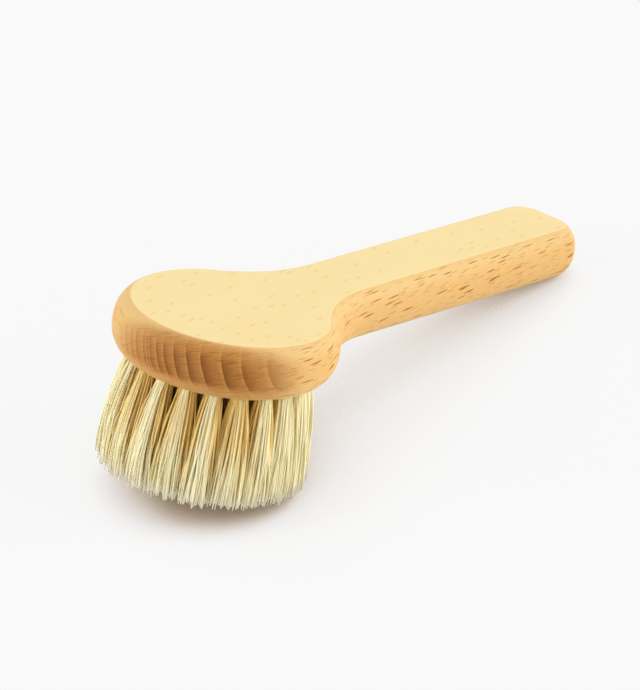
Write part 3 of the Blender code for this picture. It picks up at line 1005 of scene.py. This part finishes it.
# %% Table
FLOOR_GAP = 0.03
TABLE_NEAR, TABLE_FAR = 10.0, 50.0
TABLE_COLOUR = (0.91, 0.91, 0.91, 1.0)
BACKDROP, WORLD_BACKDROP = 0.955, 0.94
OPEN_SKY_REACH = 0.09
SHOWN_SHARE = 0.9
FAINT_HANDLE, FAINT_LEFT = (-0.01, 0.03, 0.0, 0.12), (-0.028, -0.044, 0.0, 0.09)
FAINT_SKY = (0.50, 0.25)
SHADE = (
    (0.0, (0.05, 0.028, 0.012)),
    (0.15, (0.20, 0.135, 0.075)),
    (0.20, (0.30, 0.21, 0.13)),
    (0.25, (0.43, 0.31, 0.205)),
    (0.30, (0.63, 0.54, 0.45)),
    (0.36, (0.72, 0.65, 0.585)),
    (0.45, (0.805, 0.765, 0.74)),
    (0.55, (0.875, 0.85, 0.84)),
    (0.63, (0.94, 0.93, 0.925)),
    (0.71, (BACKDROP, BACKDROP, BACKDROP)),
)


def fainter_shadow(g, open_sky):
    """How much lighter the shadow is under the bare handle, and at the photograph's left.

    Both fade in over a few centimetres of the table, and out again where the sky is open.
    """
    place = g.tree.nodes.new("ShaderNodeTexCoord").outputs["Object"]
    handle = g.rescale(g.split(place)[0], *FAINT_HANDLE)
    left = g.rescale(g.dot(place, (*RIGHT_OF_VIEW, 0.0)), *FAINT_LEFT)
    return g.product(g.math("MAXIMUM", handle, left), g.rescale(open_sky, *FAINT_SKY))


def make_table():
    """A wide table. What the camera sees of it is part lit, part its own open-sky brightness."""
    near, far, low = TABLE_NEAR, TABLE_FAR, -FLOOR_GAP * MM
    corners = [(-near, -far, low), (far, -far, low), (far, near, low), (-near, near, low)]
    mesh = bpy.data.meshes.new("table")
    mesh.from_pydata(corners, [], [(0, 1, 2, 3)])
    made = bpy.data.objects.new("table", mesh)
    scene.collection.objects.link(made)
    look, g, shader = new_material("pale_table")
    shader.inputs["Base Color"].default_value = TABLE_COLOUR
    shader.inputs["Roughness"].default_value = 0.9
    shader.inputs["Specular IOR Level"].default_value = 0.0
    reach = {"Distance": OPEN_SKY_REACH}
    open_sky = g.node("AmbientOcclusion", reach, output=1, samples=8)
    shade = g.ramp(g.math("ADD", open_sky, fainter_shadow(g, open_sky)), SHADE)
    glow = g.node("Emission", {"Color": shade, "Strength": 1.0})
    path = g.tree.nodes.new("ShaderNodeLightPath")
    share = g.math("MULTIPLY", path.outputs["Is Camera Ray"], SHOWN_SHARE)
    mixed = g.node("MixShader", {0: share, 1: shader.outputs[0], 2: glow})
    g.put(g.tree.nodes["Material Output"].inputs["Surface"], mixed)
    mesh.materials.append(look)
    return made


table = make_table()
print("table at", table.data.vertices[0].co.z / MM, "mm")

# %% [markdown]
# ## Light
#
# One soft light stands high behind the brush, a little to the left, and fills the flat top.
# Two low wide ones, at the left and the right, reach under the wood and light the bristles
# and the rounded edge. Lamps with an area would do, but their light falls off across the
# table. Suns light it evenly, and a wide angle makes their shadows soft.

# %% World and lights
AMBIENT = 0.12
SUNS = (
    # azimuth and elevation, width in degrees, and strength
    ("overhead", 75, 62, 50, 1.17),
    ("left", 150, 17, 60, 2.2),
    ("right", -57, 19, 60, 3.05),
)


def make_world():
    """Soft ambient light, with a pale backdrop for the camera and for reflections."""
    world = bpy.data.worlds.new("studio")
    world.use_nodes = True
    scene.world = world
    g = Graph(world.node_tree)
    path = g.tree.nodes.new("ShaderNodeLightPath")
    seen = g.math("MAXIMUM", path.outputs["Is Camera Ray"], path.outputs["Is Glossy Ray"])
    seen = g.math("MAXIMUM", seen, path.outputs["Is Transmission Ray"])
    shown = g.blend(seen, (AMBIENT,) * 3, (WORLD_BACKDROP,) * 3)
    g.put(world.node_tree.nodes["Background"].inputs["Color"], shown)


def add_sun(name, azimuth, elevation, width, strength):
    """A sun that stands at an azimuth and elevation, in degrees, and looks that wide."""
    made = bpy.data.objects.new(name, bpy.data.lights.new(name, "SUN"))
    az, el = math.radians(azimuth), math.radians(elevation)
    towards = Vector((math.cos(el) * math.cos(az), math.cos(el) * math.sin(az), math.sin(el)))
    made.rotation_euler = towards.to_track_quat("Z", "Y").to_euler()
    made.data.angle = math.radians(width)
    made.data.energy = strength
    scene.collection.objects.link(made)


make_world()
for sun in SUNS:
    add_sun(*sun)
scene.view_settings.view_transform = "Standard"
print("suns:", ", ".join(name for name, *_ in SUNS))

# %% [markdown]
# ## The size of the brush
#
# The dressed brush must fill the same box as the solids.

# %% A last import
import json
